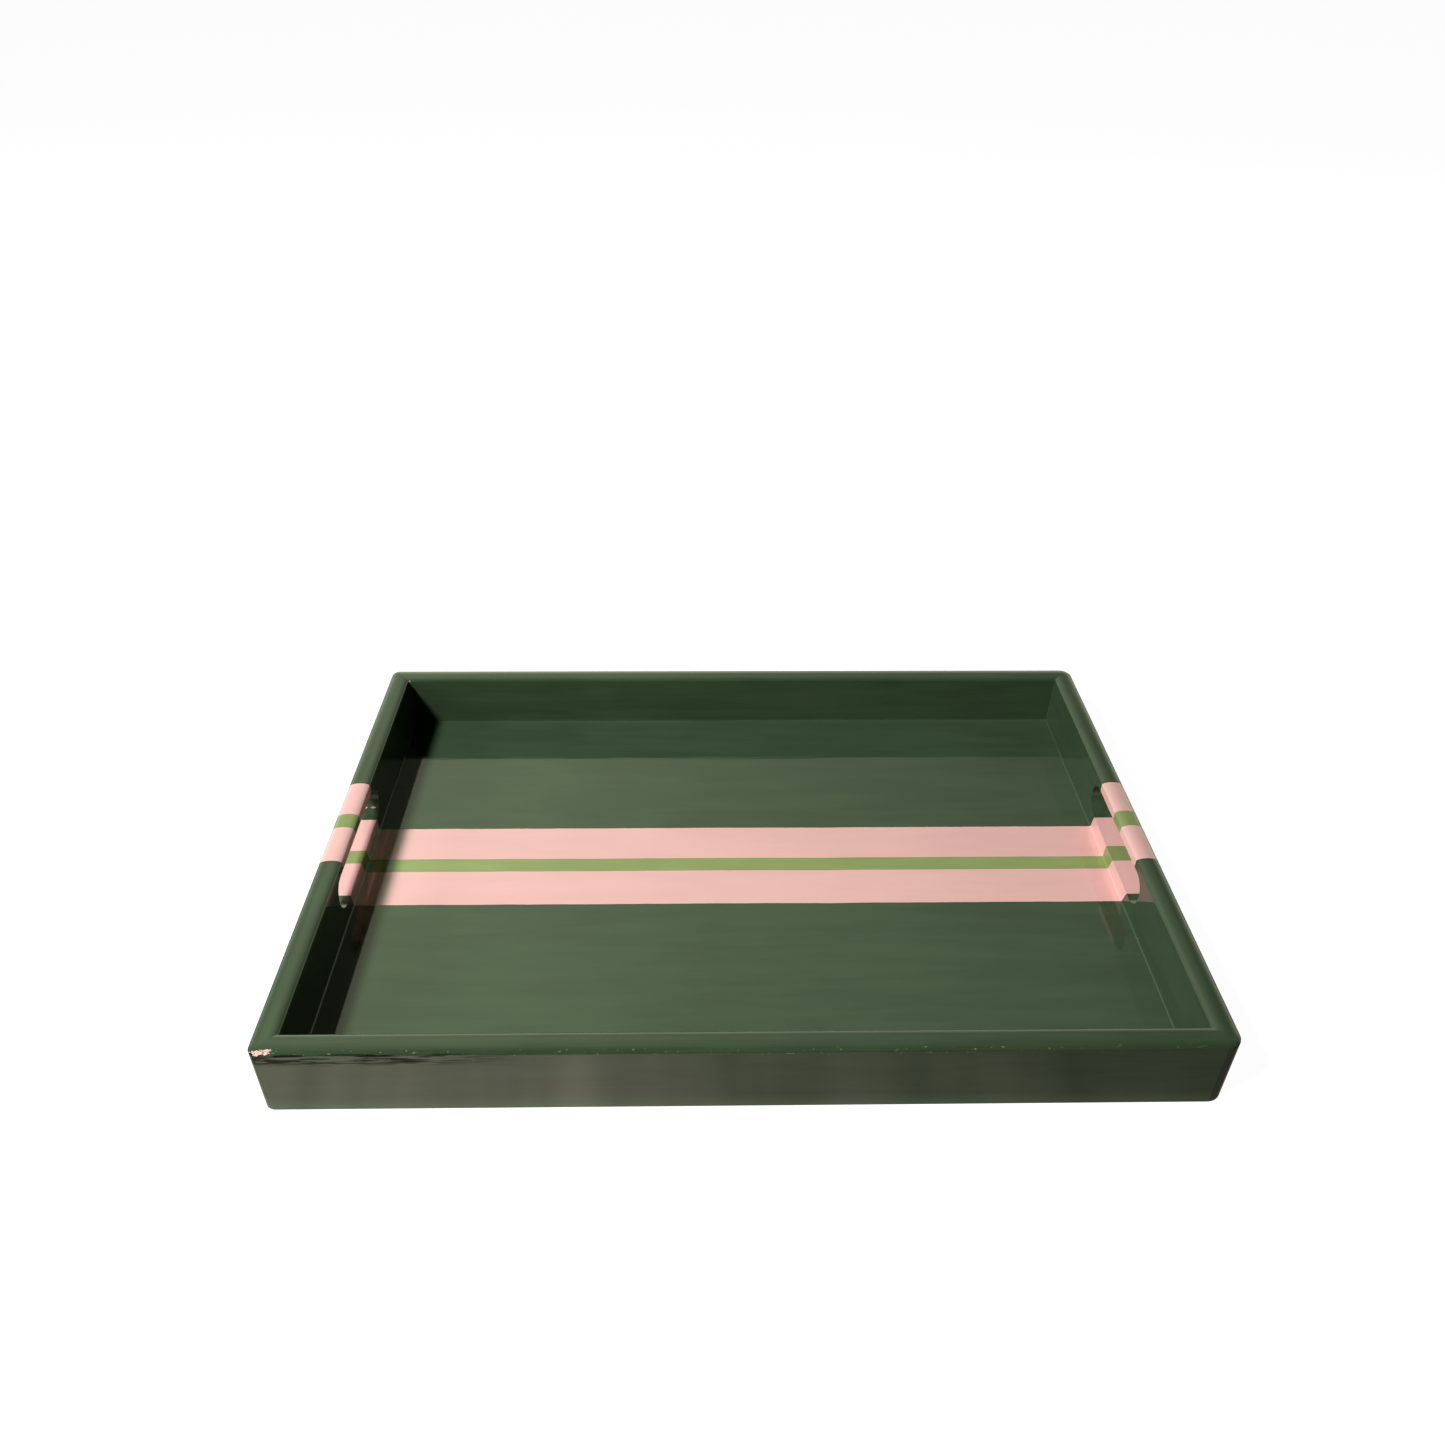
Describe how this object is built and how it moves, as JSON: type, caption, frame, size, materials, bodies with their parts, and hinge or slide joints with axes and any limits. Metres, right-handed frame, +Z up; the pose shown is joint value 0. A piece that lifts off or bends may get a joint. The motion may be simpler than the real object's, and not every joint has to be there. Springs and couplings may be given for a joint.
{
  "type": "serving tray",
  "caption": "Rectangular lacquered wooden serving tray with low mitred walls, a crowned rim, a let-in base panel and an oblong handle slot through each short end.",
  "frame": {"origin": "middle of the tray's outline, on the surface that the tray stands on", "axes": "+X along the tray from the left handle to the right one, +Y from the front wall to the back wall, +Z up"},
  "size_m": [0.43, 0.2976, 0.0391],
  "materials": {
    "lacquered_walls": "dark green brushed gloss lacquer, with a pink, light green and pink stripe over each end wall",
    "lacquered_panel": "dark green brushed gloss lacquer, with a pink, light green and pink stripe along the middle",
    "brad_steel": "bright drawn steel"
  },
  "bodies": {
    "root": {"front_wall": "lacquered_walls", "back_wall": "lacquered_walls", "left_end_wall": "lacquered_walls", "right_end_wall": "lacquered_walls", "base_panel": "lacquered_panel", "corner_brad_front_left_lower": "brad_steel", "corner_brad_front_left_upper": "brad_steel", "corner_brad_front_right_lower": "brad_steel", "corner_brad_front_right_upper": "brad_steel", "corner_brad_back_left_lower": "brad_steel", "corner_brad_back_left_upper": "brad_steel", "corner_brad_back_right_lower": "brad_steel", "corner_brad_back_right_upper": "brad_steel", "panel_brad_front_1": "brad_steel", "panel_brad_front_2": "brad_steel", "panel_brad_front_3": "brad_steel", "panel_brad_front_4": "brad_steel", "panel_brad_back_1": "brad_steel", "panel_brad_back_2": "brad_steel", "panel_brad_back_3": "brad_steel", "panel_brad_back_4": "brad_steel", "panel_brad_left_end_1": "brad_steel", "panel_brad_left_end_2": "brad_steel", "panel_brad_right_end_1": "brad_steel", "panel_brad_right_end_2": "brad_steel"}
  },
  "joints": []
}
